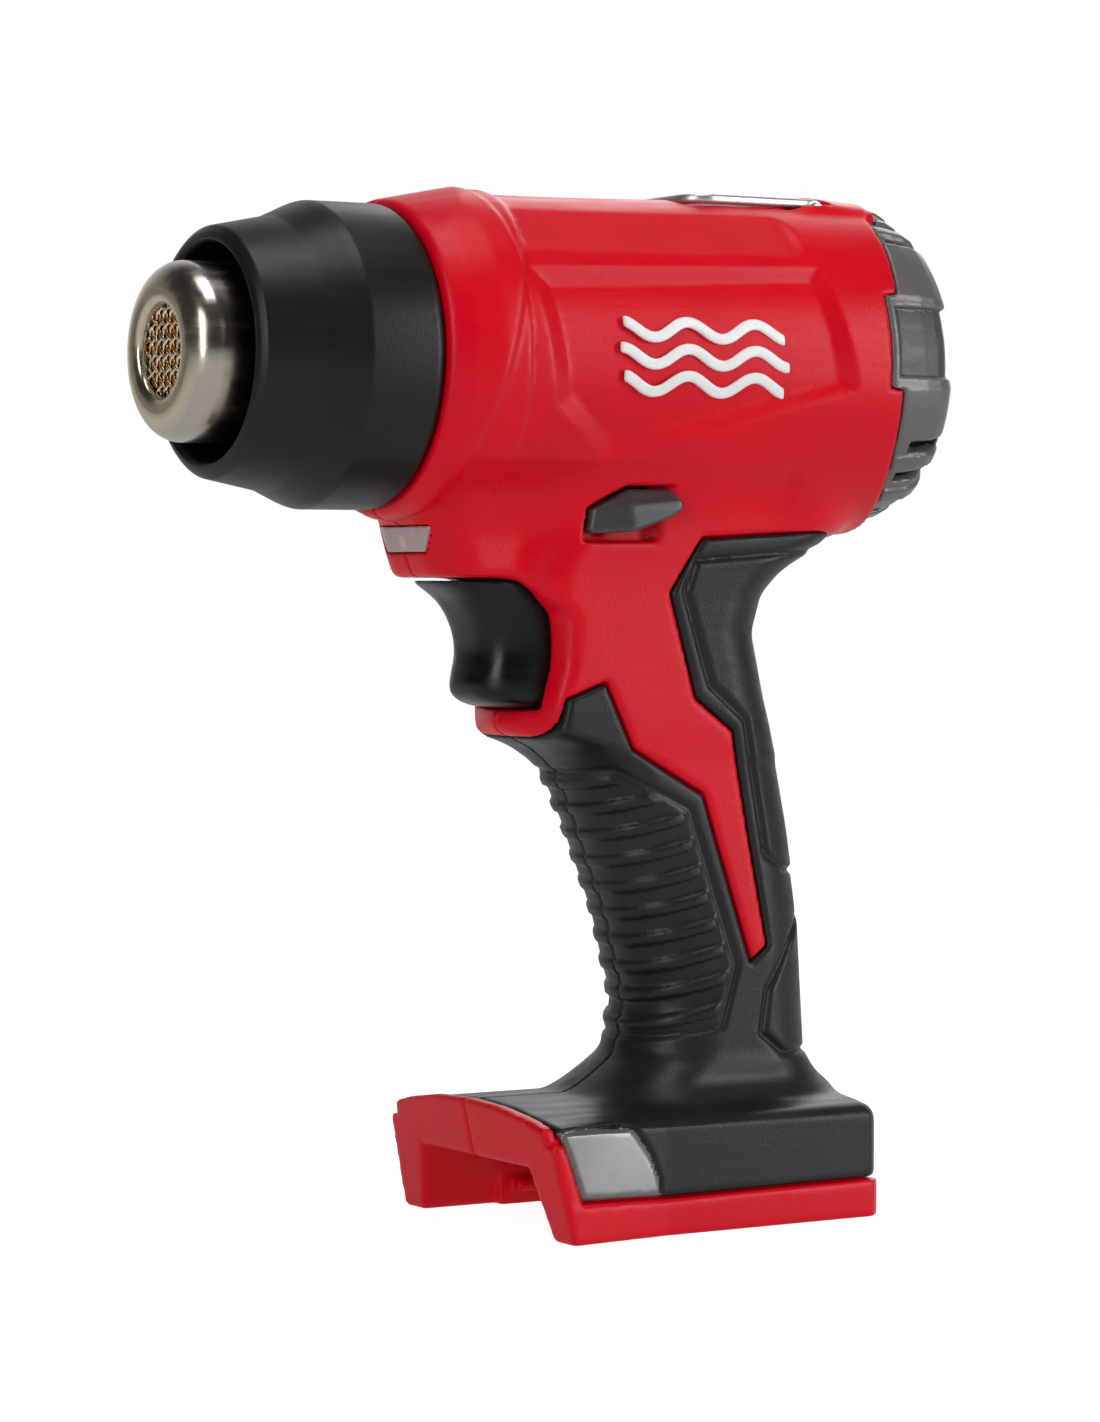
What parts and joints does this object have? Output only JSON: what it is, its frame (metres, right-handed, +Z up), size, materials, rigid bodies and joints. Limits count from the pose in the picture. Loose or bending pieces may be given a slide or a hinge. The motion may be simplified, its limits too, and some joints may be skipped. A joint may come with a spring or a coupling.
{
  "type": "heat gun",
  "caption": "Cordless pistol-grip heat gun with a steel nozzle in a shroud, blower and heater, slide trigger, lock lever, work light, fold-up hook and battery foot.",
  "frame": {"origin": "on the surface the foot stands on, under the middle of the tool's length, on the parting plane of the two housing halves", "axes": "nozzle points along -Y, the tool's left side is +X, +Z is up; the housing is symmetric about the plane x = 0"},
  "size_m": [0.0698, 0.17, 0.2128],
  "materials": {
    "red_housing": "satin moulded nylon, fine grain",
    "black_rubber": "matte moulded grip",
    "black_shroud": "satin glass-filled nylon",
    "grey_cap": "satin moulded nylon",
    "nozzle_steel": "polished stainless with heat tint",
    "mesh_steel": "heat-coloured woven wire",
    "zinc_steel": "zinc-plated",
    "hook_steel": "bright zinc-plated",
    "mica": "mica sheet",
    "ceramic": "matte ceramic",
    "nichrome": "resistance wire",
    "duct_plastic": "moulded",
    "motor_steel": "drawn steel",
    "magnet": "ferrite",
    "rotor_steel": "stacked laminations with windings",
    "fan_plastic": "moulded",
    "black_trigger": "satin-gloss moulded",
    "lever_grey": "satin moulded",
    "lens_plastic": "milky translucent",
    "circuit_board": "solder-masked board",
    "aluminium": "extruded fins",
    "capacitor_can": "sleeved can",
    "switch_plastic": "moulded",
    "spring_steel": "spring wire",
    "terminal_brass": "tinned brass",
    "wire_insulation": "insulated wire",
    "white_emblem": "printed white"
  },
  "bodies": {
    "tool": {"left_housing": "red_housing", "right_housing": "red_housing", "left_overmould": "black_rubber", "right_overmould": "black_rubber", "nose_shroud": "black_shroud", "nozzle": "nozzle_steel", "nozzle_mesh": "mesh_steel", "nozzle_retainer": "motor_steel", "retainer_screws": "zinc_steel", "mica_cross": "mica", "heater_coil": "nichrome", "mica_tube": "mica", "insulation_sleeve": "ceramic", "heater_holder": "ceramic", "heater_terminals": "ceramic", "thermal_cutoff": "motor_steel", "air_duct": "duct_plastic", "motor_cradle": "duct_plastic", "motor_can": "motor_steel", "motor_magnets": "magnet", "motor_endcap": "duct_plastic", "intake_cap": "grey_cap", "intake_screen": "mesh_steel", "trigger_spring": "spring_steel", "switch_body": "switch_plastic", "led_lens": "lens_plastic", "led_board": "circuit_board", "hook_pin": "zinc_steel", "control_board": "circuit_board", "heatsink": "aluminium", "capacitor": "capacitor_can", "terminal_block": "switch_plastic", "terminal_blades": "terminal_brass", "battery_leads": "wire_insulation", "heater_leads": "wire_insulation", "housing_screws": "zinc_steel", "left_emblem": "white_emblem", "right_emblem": "white_emblem"},
    "trigger": {"trigger": "black_trigger", "switch_plunger": "switch_plastic"},
    "lever": {"lock_lever": "lever_grey"},
    "hook": {"hang_hook": "hook_steel"},
    "rotor": {"motor_rotor": "rotor_steel", "motor_shaft": "motor_steel", "fan_impeller": "fan_plastic"}
  },
  "joints": [
    {"name": "trigger_pull", "type": "slide", "parent": "tool", "child": "trigger", "axis": [0, 1, 0], "range_m": [0, 0.006], "stiffness_N_per_m": 900, "springref_m": -0.004, "deforming": ["trigger_spring"]},
    {"name": "lever_tilt", "type": "hinge", "parent": "tool", "child": "lever", "pos_m": [0, 0.005, 0.143], "axis": [1, 0, 0], "range_deg": [-12, 0]},
    {"name": "hook_swing", "type": "hinge", "parent": "tool", "child": "hook", "pos_m": [0, 0.062, 0.2098], "axis": [-1, 0, 0], "range_deg": [0, 110]},
    {"name": "fan_spin", "type": "hinge", "parent": "tool", "child": "rotor", "pos_m": [0, 0.055, 0.1765], "axis": [0, 1, 0], "continuous": true}
  ]
}
